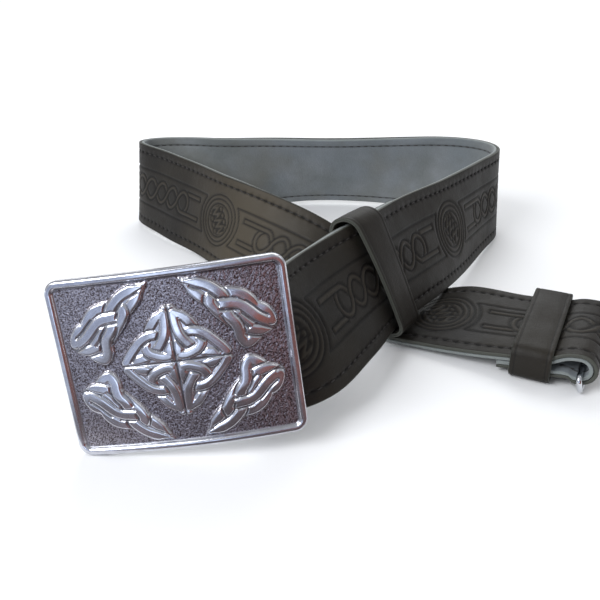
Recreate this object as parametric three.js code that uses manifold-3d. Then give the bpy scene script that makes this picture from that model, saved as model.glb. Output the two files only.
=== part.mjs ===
// Wide leather kilt belt lying in a loose crossed loop, with a knotwork buckle at one end,
// a wire ring at the other, and two leather keepers. Millimetres, +Z up, floor at z = 0.
import * as THREE from 'three';
import { mergeVertices } from 'three/addons/utils/BufferGeometryUtils.js';
import Module from 'manifold-3d';

const wasm = await Module();
wasm.setup();

// Strap sizes
const RUN_LENGTH = 886; // strap from the buckle bar to the crest of the ring fold
const STRAP_WIDTH = 57;
const PLY_THICKNESS = 1.85; // each of the two stitched layers
const FIT_GAP = 0.3; // between pieces that touch on the real belt
const BUCKLE_TAIL_LENGTH = 126; // folded back behind the buckle end
const RING_TAIL_LENGTH = 37; // folded back under the ring end

// Keeper sizes
const KEEPER_THICKNESS = 2.2;
const KEEPER_CORNER = 4.2; // outer corner radius of both leather loops
const FRONT_KEEPER_WIDTH = 19;
const FRONT_KEEPER_FROM_BAR = 89; // bar to the middle of the keeper
const FRONT_KEEPER_SKEW = 7; // degrees that its head leans towards the buckle
const FRONT_KEEPER_STAND = 3.2; // play in front of the strap
const FRONT_KEEPER_BACK = 1.2; // play behind it
const FRONT_KEEPER_HEAD = 2.4; // play over the strap's top edge
const FRONT_KEEPER_FOOT = 1.2; // play under the strap's lower edge
const END_KEEPER_WIDTH = 18;
const END_KEEPER_FROM_CREST = 21.5; // crest of the ring fold to the middle of the keeper
const END_KEEPER_PLAY = 1;

// Ring sizes
const RING_WIRE = 2.5;
const RING_SIDE_PLAY = 2; // strap edge to each short side
const RING_TILT = 12; // degrees that the ring leans out under the fold
const RING_CORNER = 2; // bend radius of the wire's centre
const RING_HOLLOW = 7.8; // height of the hollow in the fold

// Buckle sizes
const BUCKLE_WIDTH = 93.6;
const BUCKLE_HEIGHT = 72.6;
const BUCKLE_CORNER = 5.5;
const BUCKLE_CROWN = 4; // how far the middle stands out past the sides
const PLATE_THICKNESS = 1.8;
const PLATE_SWING = 15.5; // degrees between the plate and the strap as it leaves the bar
const RIM_WIDTH = 3.6;
const RIM_HEIGHT = 1.5;
const BAR_DIAMETER = 4;
const BAR_PLAY = 0.4; // bar to leather, and leather to plate
const BAR_INSET = 13; // bar to the plate's side
const POST_THICKNESS = 3;
const POST_WIDTH = 4.4;
const STRAP_DROP = 1.5; // the strap lies this much low on its bar, against the lower post
const HOOK_WIDTH = 10;
const HOOK_REACH = 9;
const HOOK_THICKNESS = 2.6;
const HOOK_INSET = 17; // hook post to the plate's other side

// Knotwork sizes
const BAND_WIDTH = 3.3;
const BAND_HIGH = 1.7; // over the plate where a band crosses over
const BAND_LOW = 0.9; // over the plate where it passes under
const BAND_SUNK = 0.6; // into the plate
const BAND_TOP_SHARE = 0.6; // width of a band's top against its foot
const BAND_REACH = 0.15; // how far the loops are drawn out past the corners, in thirds of the knot
const CENTRE_KNOT_WIDTH = 41.6;
const CENTRE_KNOT_HEIGHT = 41.5;
const QUADRANT_GAP = 0.9; // cut between the centre knot's four parts
const CORNER_KNOT_LONG_TIP = [6.8, 30.4];
const CORNER_KNOT_OUTER_TIP = [39.5, 9.2];
const CORNER_KNOT_MID_TIP = [25.5, 1.6];

// Section of the rim, from the plate's edge inwards. inwards is a share of RIM_WIDTH, and
// height is a share of RIM_HEIGHT over the plate's face.
const RIM_SECTION = [
  { inwards: 0, height: -0.6 },
  { inwards: 0, height: 0.4 },
  { inwards: 0.25, height: 1 },
  { inwards: 0.65, height: 1 },
  { inwards: 1, height: -0.6 },
];

const STRAP_THICKNESS = 2 * PLY_THICKNESS + FIT_GAP;
const CLOSED_APART = STRAP_THICKNESS + FIT_GAP; // middle to middle where two runs lie together
const BAR_FOLD_RADIUS = BAR_DIAMETER / 2 + BAR_PLAY + STRAP_THICKNESS / 2;
const RING_FOLD_RADIUS = (RING_HOLLOW + STRAP_THICKNESS) / 2;
const POST_PLAY = STRAP_DROP + FIT_GAP; // post to the middle strap's edge, above and below
const BAR_X = BUCKLE_WIDTH / 2 - BAR_INSET;
const BAR_DEPTH = PLATE_THICKNESS + BAR_FOLD_RADIUS + STRAP_THICKNESS / 2 + BAR_PLAY;
const BEND_RADIUS = (BUCKLE_WIDTH * BUCKLE_WIDTH) / (8 * BUCKLE_CROWN) + BUCKLE_CROWN / 2;

// The strap's lie on the floor. along is a share of RUN_LENGTH, heading and lean are degrees,
// and lift is the height of the lower edge in strap thicknesses. The lean is towards the loop's inside.
const LIE = [
  { along: 0.0, heading: 22, lean: 15, lift: 3.15 },
  { along: 0.028, heading: 59, lean: 30.5, lift: 3.8 },
  { along: 0.062, heading: 58.5, lean: 32.5, lift: 3.45 },
  { along: 0.102, heading: 54, lean: 21.5, lift: 2.65 },
  { along: 0.147, heading: 53, lean: 26, lift: 2.5 },
  { along: 0.198, heading: 55.5, lean: 18.5, lift: 1.3 },
  { along: 0.243, heading: 56, lean: 11, lift: 0.7 },
  { along: 0.273, heading: 56.5, lean: 7.5, lift: 0.5 },
  { along: 0.301, heading: 90, lean: 1.3, lift: 0.35 },
  { along: 0.333, heading: 142, lean: 0, lift: 0.25 },
  { along: 0.389, heading: 164, lean: 15, lift: 0.45 },
  { along: 0.463, heading: 174.5, lean: 21, lift: 0.6 },
  { along: 0.53, heading: 184, lean: 6, lift: 0 },
  { along: 0.576, heading: 175.5, lean: -6.5, lift: 0 },
  { along: 0.6, heading: 210.5, lean: -4, lift: 0.2 },
  { along: 0.626, heading: 292.5, lean: 10, lift: 0.7 },
  { along: 0.677, heading: 311.5, lean: 19.5, lift: 0.5 },
  { along: 0.734, heading: 309, lean: 17.5, lift: 0 },
  { along: 0.779, heading: 317, lean: 33.5, lift: 0 },
  { along: 0.813, heading: 323, lean: 48, lift: 0 },
  { along: 0.847, heading: 327.5, lean: 67.5, lift: 0 },
  { along: 0.886, heading: 328, lean: 88.5, lift: 0 },
  { along: 0.931, heading: 329, lean: 82.5, lift: 0.65 },
  { along: 0.961, heading: 331, lean: 86, lift: 1.6 },
  { along: 0.985, heading: 331.5, lean: 88, lift: 2.55 },
  { along: 0.994, heading: 331, lean: 89.5, lift: 3.5 },
  { along: 1.0, heading: 331, lean: 90, lift: 3.7 },
];

// Distance from a folded-back run to the run it lies on. back is a share of the tail's length,
// and apart runs from 0, lying together, to 1, as far apart as the fold is high.
const BAR_TAIL = [
  { back: 0, apart: 1 },
  { back: 0.1, apart: 0.55 },
  { back: 0.22, apart: 0.04 },
  { back: 0.4, apart: 0.03 },
  { back: 1, apart: 0.03 },
];
const RING_TAIL = [
  { back: 0, apart: 1 },
  { back: 0.12, apart: 0.93 },
  { back: 0.32, apart: 0.44 },
  { back: 0.58, apart: 0.15 },
  { back: 0.8, apart: 0 },
  { back: 1, apart: 0 },
];

const NEARLY_CLOSED = 0.1; // apart, where the two runs of a fold count as lying together
const RUN_STEP = 12; // longest step along the strap
const TURN_STEP = 9; // most degrees of turn or lean in one step
const FOLD_STEPS = 10;
const KEEPER_STEPS = 3; // along each straight side
const TRACE_STEPS = 1500;
const CORNER_STEPS = 4;
const WIRE_SIDES = 8;
const CROWN_STEPS = 12;
const KNOT_STEPS = 13;
const BAND_OVERLAP = 0.02; // of a third of a knot, so that its bands join
const LOOK_AHEAD = 0.01; // turn to the next point of a band, for its direction

const UP = new THREE.Vector3(0, 0, 1);
const radians = THREE.MathUtils.degToRad;

// A smooth curve through one column of a table, level at both ends
function readTable(rows, place, column, at) {
  const slopeBetween = (i) => (rows[i + 1][column] - rows[i][column]) / (rows[i + 1][place] - rows[i][place]);
  const slopeAt = (i) => {
    if (i === 0 || i === rows.length - 1) return 0;
    const before = rows[i][place] - rows[i - 1][place];
    const after = rows[i + 1][place] - rows[i][place];
    return (slopeBetween(i - 1) * after + slopeBetween(i) * before) / (before + after);
  };
  let k = 0;
  while (k < rows.length - 2 && at > rows[k + 1][place]) k += 1;
  const span = rows[k + 1][place] - rows[k][place];
  const t = (at - rows[k][place]) / span;
  const ease = t * t * (3 - 2 * t);
  return (
    rows[k][column] * (1 - ease) +
    rows[k + 1][column] * ease +
    slopeAt(k) * span * t * (1 - t) * (1 - t) -
    slopeAt(k + 1) * span * t * t * (1 - t)
  );
}

// Height of the strap's middle line over the floor
function middleHeight(along) {
  const lean = radians(readTable(LIE, 'along', 'lean', along));
  const lift = Math.max(0, readTable(LIE, 'along', 'lift', along)) * STRAP_THICKNESS;
  return lift + (STRAP_WIDTH * Math.abs(Math.cos(lean)) + STRAP_THICKNESS * Math.abs(Math.sin(lean))) / 2;
}

// Middle line of the strap, walked in short steps
function traceRun() {
  const points = [new THREE.Vector3(0, 0, middleHeight(0))];
  const step = RUN_LENGTH / TRACE_STEPS;
  for (let i = 0; i < TRACE_STEPS; i += 1) {
    const rise = middleHeight((i + 1) / TRACE_STEPS) - points[i].z;
    const level = Math.sqrt(step * step - rise * rise);
    const heading = radians(readTable(LIE, 'along', 'heading', (i + 0.5) / TRACE_STEPS));
    const move = new THREE.Vector3(Math.cos(heading) * level, Math.sin(heading) * level, rise);
    points.push(points[i].clone().add(move));
  }
  return points;
}

const RUN = traceRun();

// Place, forward, across and outward directions of the strap at a share of the run
function runFrame(along) {
  const at = along * TRACE_STEPS;
  const i = Math.min(TRACE_STEPS - 1, Math.floor(at));
  const middle = RUN[i].clone().lerp(RUN[i + 1], at - i);
  const heading = radians(readTable(LIE, 'along', 'heading', along));
  const lean = radians(readTable(LIE, 'along', 'lean', along));
  const before = RUN[Math.max(0, i - 1)];
  const after = RUN[Math.min(TRACE_STEPS, i + 2)];
  const steps = Math.min(TRACE_STEPS, i + 2) - Math.max(0, i - 1);
  const rise = (after.z - before.z) / ((steps * RUN_LENGTH) / TRACE_STEPS);
  const level = Math.sqrt(1 - rise * rise);
  const forward = new THREE.Vector3(Math.cos(heading) * level, Math.sin(heading) * level, rise);
  const inside = new THREE.Vector3(-Math.sin(heading), Math.cos(heading), 0);
  const across = UP.clone().multiplyScalar(Math.cos(lean)).addScaledVector(inside, Math.sin(lean));
  across.addScaledVector(forward, -across.dot(forward)).normalize();
  return { middle, forward, across, outward: forward.clone().cross(across) };
}

// A place and its directions, moved by shares of those directions
function shifted(frame, forward, across, outward) {
  return frame.middle
    .clone()
    .addScaledVector(frame.forward, forward)
    .addScaledVector(frame.across, across)
    .addScaledVector(frame.outward, outward);
}

// The same place seen from the folded-back side
function turnedBack(frame, apart) {
  return {
    middle: shifted(frame, 0, 0, -apart),
    forward: frame.forward.clone().negate(),
    across: frame.across,
    outward: frame.outward.clone().negate(),
  };
}

// Half circle of a fold, round an axis that lies behind the frame's place
function foldFrames(frame, radius) {
  const centre = shifted(frame, 0, 0, -radius);
  const frames = [];
  for (let i = 1; i < FOLD_STEPS; i += 1) {
    const turn = (Math.PI * i) / FOLD_STEPS;
    const [across, ahead] = [Math.cos(turn), Math.sin(turn)];
    const outward = frame.outward.clone().multiplyScalar(across).addScaledVector(frame.forward, ahead);
    const forward = frame.forward.clone().multiplyScalar(across).addScaledVector(frame.outward, -ahead);
    const middle = centre.clone().addScaledVector(outward, radius);
    frames.push({ middle, forward, across: frame.across, outward });
  }
  return frames;
}

// Folded-back run from the fold to its cut end, cut into steps where the run in front of it is,
// and twice as often where the fold is open
function tailFrames(rows, radius, backs, frameBack) {
  const closedFrom = rows.find((row) => row.apart < NEARLY_CLOSED).back;
  const steps = [0];
  for (const back of [...backs.filter((share) => share > 0 && share < 1), 1]) {
    const before = steps[steps.length - 1];
    if (before < closedFrom) steps.push((before + back) / 2);
    steps.push(back);
  }
  return steps.map((back) => {
    const share = Math.max(0, readTable(rows, 'back', 'apart', back));
    return turnedBack(frameBack(back), CLOSED_APART + (2 * radius - CLOSED_APART) * share);
  });
}

// Shares of the run where the strap is cut into steps, closer where it turns
function runStations() {
  const stations = [0];
  for (let i = 1; i < LIE.length; i += 1) {
    const span = LIE[i].along - LIE[i - 1].along;
    const turn = Math.abs(LIE[i].heading - LIE[i - 1].heading);
    const lean = Math.abs(LIE[i].lean - LIE[i - 1].lean);
    const steps = Math.ceil(Math.max((span * RUN_LENGTH) / RUN_STEP, Math.max(turn, lean) / TURN_STEP));
    for (let k = 1; k <= steps; k += 1) stations.push(LIE[i - 1].along + (span * k) / steps);
  }
  return stations;
}

// The whole strap, from the cut end behind the buckle to the cut end under the ring
function strapFrames() {
  const start = runFrame(0);
  const end = runFrame(1);
  const mirrored = { ...start, forward: start.forward.clone().negate() };
  const stations = runStations();
  const barShare = BUCKLE_TAIL_LENGTH / RUN_LENGTH;
  const ringShare = RING_TAIL_LENGTH / RUN_LENGTH;
  const barBacks = stations.map((along) => along / barShare);
  const ringBacks = stations.map((along) => (1 - along) / ringShare).reverse();
  const behindBar = tailFrames(BAR_TAIL, BAR_FOLD_RADIUS, barBacks, (back) => runFrame(back * barShare));
  const underRing = tailFrames(RING_TAIL, RING_FOLD_RADIUS, ringBacks, (back) => runFrame(1 - back * ringShare));
  const barFold = foldFrames(mirrored, BAR_FOLD_RADIUS);
  const ringFold = foldFrames(end, RING_FOLD_RADIUS);
  return [...behindBar.reverse(), ...barFold.reverse(), ...stations.map(runFrame), ...ringFold, ...underRing];
}

// Closed skin over rings of points, either capped at both ends or joined end to end.
// Both faces of a twisted strip are cut along the same diagonals, so its thickness holds.
function skin(rings, joined = false) {
  const sides = rings[0].length;
  const positions = rings.flat().flatMap((p) => [p.x, p.y, p.z]);
  const index = [];
  const spans = joined ? rings.length : rings.length - 1;
  for (let i = 0; i < spans; i += 1) {
    const here = i * sides;
    const next = ((i + 1) % rings.length) * sides;
    for (let k = 0; k < sides; k += 1) {
      const m = (k + 1) % sides;
      if (k < sides / 2) index.push(here + k, next + k, next + m, here + k, next + m, here + m);
      else index.push(here + k, next + k, here + m, next + k, next + m, here + m);
    }
  }
  if (!joined) {
    const last = (rings.length - 1) * sides;
    for (let k = 1; k < sides - 1; k += 1) {
      index.push(0, k, k + 1);
      index.push(last, last + k + 1, last + k);
    }
  }
  const geometry = new THREE.BufferGeometry();
  geometry.setAttribute('position', new THREE.Float32BufferAttribute(positions, 3));
  geometry.setIndex(signedVolume(rings.flat(), index) < 0 ? index.reverse() : index);
  return geometry;
}

function signedVolume(points, index) {
  let sum = 0;
  for (let i = 0; i < index.length; i += 3) {
    const [a, b, c] = [points[index[i]], points[index[i + 1]], points[index[i + 2]]];
    sum += a.dot(b.clone().cross(c));
  }
  return sum;
}

// One of the strap's two layers, between two distances from the strap's middle
function strapLayer(frames, inner, outer) {
  const half = STRAP_WIDTH / 2;
  const rings = frames.map((frame) => [
    shifted(frame, 0, -half, inner),
    shifted(frame, 0, half, inner),
    shifted(frame, 0, half, outer),
    shifted(frame, 0, -half, outer),
  ]);
  return skin(rings);
}

// Points of a rectangle with round corners, as [first, second] pairs going round once
function roundedLoop(low, high, corner, edgeSteps = 1) {
  const centres = [
    [high[0] - corner, high[1] - corner, 0],
    [low[0] + corner, high[1] - corner, 90],
    [low[0] + corner, low[1] + corner, 180],
    [high[0] - corner, low[1] + corner, 270],
  ];
  const loop = [];
  centres.forEach(([first, second, startTurn], side) => {
    for (let i = 0; i <= CORNER_STEPS; i += 1) {
      const turn = radians(startTurn + (90 * i) / CORNER_STEPS);
      loop.push([first + corner * Math.cos(turn), second + corner * Math.sin(turn)]);
    }
    const here = loop[loop.length - 1];
    const following = centres[(side + 1) % 4];
    const turn = radians(following[2]);
    const there = [following[0] + corner * Math.cos(turn), following[1] + corner * Math.sin(turn)];
    for (let i = 1; i < edgeSteps; i += 1) {
      const share = i / edgeSteps;
      loop.push([here[0] + (there[0] - here[0]) * share, here[1] + (there[1] - here[1]) * share]);
    }
  });
  return loop;
}

// A leather loop: low and high are its inner corners as [across, outward], and place puts a
// point at its forward, across and outward distances
function keeper(place, low, high, width) {
  const t = KEEPER_THICKNESS;
  const outer = roundedLoop([low[0] - t, low[1] - t], [high[0] + t, high[1] + t], KEEPER_CORNER, KEEPER_STEPS);
  const inner = roundedLoop(low, high, KEEPER_CORNER - t, KEEPER_STEPS);
  const rings = outer.map((out, i) => [
    place(-width / 2, ...inner[i]),
    place(width / 2, ...inner[i]),
    place(width / 2, ...out),
    place(-width / 2, ...out),
  ]);
  return skin(rings, true);
}

// The front keeper hangs loose, follows the strap's twist and has slid askew
function frontKeeper() {
  const half = STRAP_WIDTH / 2;
  const back = CLOSED_APART + (2 * BAR_FOLD_RADIUS - CLOSED_APART) * BAR_TAIL[3].apart;
  const low = [-half - FRONT_KEEPER_FOOT, -back - STRAP_THICKNESS / 2 - FRONT_KEEPER_BACK];
  const high = [half + FRONT_KEEPER_HEAD, STRAP_THICKNESS / 2 + FRONT_KEEPER_STAND];
  const slant = Math.tan(radians(FRONT_KEEPER_SKEW));
  const place = (forward, across, outward) => {
    const fromBar = FRONT_KEEPER_FROM_BAR + forward - across * slant;
    return shifted(runFrame(fromBar / RUN_LENGTH), 0, across, outward);
  };
  return keeper(place, low, high, FRONT_KEEPER_WIDTH);
}

// The end keeper lies flat on the floor, square to the strap's heading
function endKeeper() {
  const half = STRAP_WIDTH / 2;
  const middle = runFrame(1 - END_KEEPER_FROM_CREST / RUN_LENGTH);
  const reach = END_KEEPER_WIDTH / 2;
  const ahead = runFrame(1 - (END_KEEPER_FROM_CREST - reach) / RUN_LENGTH);
  const forward = new THREE.Vector3(middle.forward.x, middle.forward.y, 0).normalize();
  const across = middle.across.clone().addScaledVector(forward, -middle.across.dot(forward)).normalize();
  const frame = { middle: middle.middle, forward, across, outward: forward.clone().cross(across) };
  const rise = ahead.middle.clone().sub(middle.middle).dot(frame.outward);
  const top = rise + STRAP_THICKNESS / 2 + END_KEEPER_PLAY;
  const floor = -(frame.middle.z - half * Math.abs(across.z)) / frame.outward.z + KEEPER_THICKNESS;
  const low = [-half - END_KEEPER_PLAY, floor];
  const high = [half + END_KEEPER_PLAY, top];
  return keeper((...away) => shifted(frame, ...away), low, high, END_KEEPER_WIDTH);
}

// A wire ring: one bar in the hollow of the fold, the other under it, round the strap's lower run
function endRing() {
  const end = runFrame(1);
  const tilt = radians(RING_TILT);
  const away = end.outward.clone().multiplyScalar(-Math.cos(tilt)).addScaledVector(end.forward, Math.sin(tilt));
  const square = away.clone().cross(end.across);
  const frame = { middle: shifted(end, 0, 0, -RING_FOLD_RADIUS), forward: square, across: end.across, outward: away };
  const wire = RING_WIRE / 2;
  const half = STRAP_WIDTH / 2 + RING_SIDE_PLAY + wire;
  const inBar = RING_FOLD_RADIUS - STRAP_THICKNESS / 2 - FIT_GAP - wire;
  const outBar = RING_FOLD_RADIUS + STRAP_THICKNESS / 2 + FIT_GAP + wire;
  const loop = roundedLoop([-half, inBar], [half, outBar], RING_CORNER);
  const rings = loop.map((point, i) => {
    const before = loop[(i + loop.length - 1) % loop.length];
    const after = loop[(i + 1) % loop.length];
    const along = new THREE.Vector2(after[0] - before[0], after[1] - before[1]).normalize();
    const ring = [];
    for (let k = 0; k < WIRE_SIDES; k += 1) {
      const turn = (2 * Math.PI * (k + 0.5)) / WIRE_SIDES;
      const side = wire * Math.cos(turn);
      ring.push(shifted(frame, wire * Math.sin(turn), point[0] + along.y * side, point[1] - along.x * side));
    }
    return ring;
  });
  return skin(rings, true);
}

// The buckle is made in its own frame, x to the right, y up and z out, and bent to its crown
function bent(x, y, z) {
  const turn = x / BEND_RADIUS;
  const reach = BEND_RADIUS + z;
  return new THREE.Vector3(reach * Math.sin(turn), y, reach * Math.cos(turn) - BEND_RADIUS);
}

function solidOf(geometry) {
  const plain = geometry.clone();
  plain.deleteAttribute('normal');
  plain.deleteAttribute('uv');
  const merged = mergeVertices(plain, 1e-5);
  const vertProperties = new Float32Array(merged.attributes.position.array);
  const triVerts = new Uint32Array(merged.index.array);
  return new wasm.Manifold(new wasm.Mesh({ numProp: 3, vertProperties, triVerts }));
}

function geometryOf(solid) {
  const mesh = solid.getMesh();
  const geometry = new THREE.BufferGeometry();
  geometry.setAttribute('position', new THREE.Float32BufferAttribute(mesh.vertProperties, mesh.numProp));
  geometry.setIndex(new THREE.BufferAttribute(mesh.triVerts, 1));
  return geometry;
}

// Crowned plate with round corners
function plate() {
  const half = BUCKLE_WIDTH / 2;
  const straight = BUCKLE_WIDTH - 2 * BUCKLE_CORNER;
  const corner = [];
  for (let i = 0; i <= CORNER_STEPS; i += 1) {
    corner.push(half - BUCKLE_CORNER * (1 - Math.cos(radians((90 * i) / CORNER_STEPS))));
  }
  const stations = corner.map((x) => -x);
  for (let i = 1; i < CROWN_STEPS; i += 1) stations.push(-straight / 2 + (straight * i) / CROWN_STEPS);
  stations.push(...corner.reverse());
  const rings = stations.map((x) => {
    const past = Math.max(0, Math.abs(x) - (half - BUCKLE_CORNER));
    const top = BUCKLE_HEIGHT / 2 - BUCKLE_CORNER + Math.sqrt(Math.max(0, BUCKLE_CORNER ** 2 - past ** 2));
    return [bent(x, -top, -PLATE_THICKNESS), bent(x, top, -PLATE_THICKNESS), bent(x, top, 0), bent(x, -top, 0)];
  });
  return skin(rings);
}

// Raised rounded rim round the plate's edge
function rim() {
  const inset = (share) => {
    const edge = RIM_WIDTH * share;
    const high = [BUCKLE_WIDTH / 2 - edge, BUCKLE_HEIGHT / 2 - edge];
    const corner = Math.max(1, BUCKLE_CORNER - edge);
    return roundedLoop([-high[0], -high[1]], high, corner, CROWN_STEPS / 2);
  };
  const loops = RIM_SECTION.map((row) => inset(row.inwards));
  const rings = loops[0].map((unused, i) =>
    RIM_SECTION.map((row, k) => bent(loops[k][i][0], loops[k][i][1], row.height * RIM_HEIGHT)),
  );
  return skin(rings, true);
}

// A three-looped knot stretched onto a triangle, with its loops at the triangle's corners
function knotPoint(corners, turn) {
  const x = Math.sin(turn) + 2 * Math.sin(2 * turn);
  const y = Math.cos(turn) - 2 * Math.cos(2 * turn);
  const reach = 3 - BAND_REACH;
  const weights = [0, 1, 2].map((i) => {
    const towards = Math.PI / 3 + (i * 2 * Math.PI) / 3;
    return (1 + (2 * (x * Math.sin(towards) + y * Math.cos(towards))) / reach) / 3;
  });
  return [0, 1].map((axis) => corners.reduce((sum, corner, i) => sum + corner[axis] * weights[i], 0));
}

// One band of a knot as a low ridge, from one turn to another
function knotBand(corners, from, to) {
  const rings = [];
  for (let i = 0; i <= KNOT_STEPS; i += 1) {
    const turn = from + ((to - from) * i) / KNOT_STEPS;
    const here = knotPoint(corners, turn);
    const ahead = knotPoint(corners, turn + LOOK_AHEAD);
    const length = Math.hypot(ahead[0] - here[0], ahead[1] - here[1]);
    const side = [-(ahead[1] - here[1]) / length, (ahead[0] - here[0]) / length];
    const top = BAND_LOW + ((BAND_HIGH - BAND_LOW) * (1 + Math.cos(3 * turn))) / 2;
    const foot = BAND_WIDTH / 2;
    const head = foot * BAND_TOP_SHARE;
    const at = (offset, height) => bent(here[0] + side[0] * offset, here[1] + side[1] * offset, height);
    rings.push([at(-foot, -BAND_SUNK), at(foot, -BAND_SUNK), at(head, top), at(-head, top)]);
  }
  return skin(rings);
}

function knot(corners) {
  const third = (2 * Math.PI) / 3;
  return [0, 1, 2].map((i) => knotBand(corners, (i - BAND_OVERLAP) * third, (i + 1 + BAND_OVERLAP) * third));
}

// Every knot on the plate: four round the middle, four in the corners, mirrored from one quarter
function knotwork() {
  const bands = [];
  for (const right of [-1, 1]) {
    for (const up of [-1, 1]) {
      const mirrored = ([x, y]) => [x * right, y * up];
      const edge = BAND_WIDTH / 2 + QUADRANT_GAP / 2;
      const centre = [
        [edge, CENTRE_KNOT_HEIGHT / 2],
        [CENTRE_KNOT_WIDTH / 2, edge],
        [edge, edge],
      ];
      const corner = [CORNER_KNOT_LONG_TIP, CORNER_KNOT_OUTER_TIP, CORNER_KNOT_MID_TIP];
      bands.push(...knot(centre.map(mirrored)), ...knot(corner.map(mirrored)));
    }
  }
  return bands;
}

// The bar that the strap folds round, its two posts, and the hook for the ring
function backFittings() {
  const postMiddle = STRAP_WIDTH / 2 + POST_PLAY + POST_THICKNESS / 2;
  const bar = new THREE.CylinderGeometry(BAR_DIAMETER / 2, BAR_DIAMETER / 2, 2 * postMiddle, 12);
  const place = (geometry, x, y, depth) => {
    geometry.rotateY(x / BEND_RADIUS);
    const at = bent(x, y, -depth);
    return geometry.translate(at.x, at.y, at.z);
  };
  const postDepth = BAR_DEPTH + BAR_DIAMETER / 2 - PLATE_THICKNESS / 2;
  const posts = [-1, 1].map((side) => {
    const post = new THREE.BoxGeometry(POST_WIDTH, POST_THICKNESS, postDepth);
    return place(post, BAR_X, side * postMiddle, PLATE_THICKNESS / 2 + postDepth / 2);
  });
  const hookX = -BUCKLE_WIDTH / 2 + HOOK_INSET;
  const stem = new THREE.BoxGeometry(HOOK_THICKNESS, HOOK_WIDTH, HOOK_REACH);
  const lip = new THREE.BoxGeometry(HOOK_REACH, HOOK_WIDTH, HOOK_THICKNESS);
  const stemAt = PLATE_THICKNESS / 2 + HOOK_REACH / 2;
  const lipAt = PLATE_THICKNESS / 2 + HOOK_REACH - HOOK_THICKNESS / 2;
  return [
    place(bar, BAR_X, 0, BAR_DEPTH),
    ...posts,
    place(stem, hookX, 0, stemAt),
    place(lip, hookX - HOOK_REACH / 2 + HOOK_THICKNESS / 2, 0, lipAt),
  ];
}

// The buckle as one casting, turned so that its bar lies in the strap's fold
function buckle() {
  const pieces = [rim(), ...knotwork(), ...backFittings()];
  const solid = pieces.reduce((sum, piece) => sum.add(solidOf(piece)), solidOf(plate()));
  const geometry = geometryOf(solid);
  const start = runFrame(0);
  const swing = radians(PLATE_SWING) + BAR_X / BEND_RADIUS;
  const right = start.forward.clone().applyAxisAngle(start.across, -swing);
  const out = start.outward.clone().applyAxisAngle(start.across, -swing);
  const barAt = bent(BAR_X, 0, -BAR_DEPTH);
  const fold = shifted(start, 0, 0, -BAR_FOLD_RADIUS);
  const origin = fold.clone().addScaledVector(right, -barAt.x).addScaledVector(out, -barAt.z);
  origin.addScaledVector(start.across, STRAP_DROP);
  const pose = new THREE.Matrix4().makeBasis(right, start.across, out).setPosition(origin);
  return geometry.applyMatrix4(pose);
}

// Materials
const SMOOTH_LEATHER = { color: '#34312d', roughness: 0.48, metalness: 0 };
const SUEDE_LEATHER = { color: '#63645f', roughness: 0.95, metalness: 0 };
const PEWTER = { color: '#8d8d92', roughness: 0.3, metalness: 1 };
const CHROME = { color: '#c9ccd2', roughness: 0.15, metalness: 1 };

function named(name, geometry, look) {
  geometry.computeVertexNormals();
  const mesh = new THREE.Mesh(geometry, new THREE.MeshStandardMaterial(look));
  mesh.name = name;
  return mesh;
}

const frames = strapFrames();
const belt = new THREE.Group();
belt.add(named('strap_facing', strapLayer(frames, FIT_GAP / 2, STRAP_THICKNESS / 2), SMOOTH_LEATHER));
belt.add(named('strap_lining', strapLayer(frames, -STRAP_THICKNESS / 2, -FIT_GAP / 2), SUEDE_LEATHER));
belt.add(named('front_keeper', frontKeeper(), SMOOTH_LEATHER));
belt.add(named('end_keeper', endKeeper(), SMOOTH_LEATHER));
belt.add(named('end_ring', endRing(), CHROME));
belt.add(named('buckle', buckle(), PEWTER));

// The origin is the middle of the belt's footprint, on the floor
const bounds = new THREE.Box3().setFromObject(belt, true);
belt.position.set(-(bounds.min.x + bounds.max.x) / 2, -(bounds.min.y + bounds.max.y) / 2, -bounds.min.z);

export default belt;
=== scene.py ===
import math
import bmesh
import bpy
import numpy as np
from mathutils import Matrix, Vector

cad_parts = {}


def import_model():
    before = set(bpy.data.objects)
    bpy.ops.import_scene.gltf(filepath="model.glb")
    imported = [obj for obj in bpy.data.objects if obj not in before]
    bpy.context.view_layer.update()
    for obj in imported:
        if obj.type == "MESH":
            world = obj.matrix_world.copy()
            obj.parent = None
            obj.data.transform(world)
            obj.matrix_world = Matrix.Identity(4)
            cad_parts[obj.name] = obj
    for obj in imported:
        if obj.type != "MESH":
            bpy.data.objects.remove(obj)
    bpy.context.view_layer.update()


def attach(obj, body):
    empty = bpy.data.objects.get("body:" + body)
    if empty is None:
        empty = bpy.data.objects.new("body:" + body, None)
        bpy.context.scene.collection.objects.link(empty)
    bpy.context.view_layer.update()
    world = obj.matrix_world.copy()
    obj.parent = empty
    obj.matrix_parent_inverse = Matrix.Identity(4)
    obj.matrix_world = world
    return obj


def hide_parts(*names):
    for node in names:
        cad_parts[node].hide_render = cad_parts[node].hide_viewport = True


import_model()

millimetre = 0.001
placeOnFloor = np.array([-31.7091, -134.0683, 0.4604])
rng = np.random.default_rng(11)

# Camera at the photograph's angle
camera = {"focalLength": 39.34, "sensor": 36, "place": (-17.64, -352.82, 177.6),
          "pitch": 27.862, "roll": -1.829, "yaw": -0.134}


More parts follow.
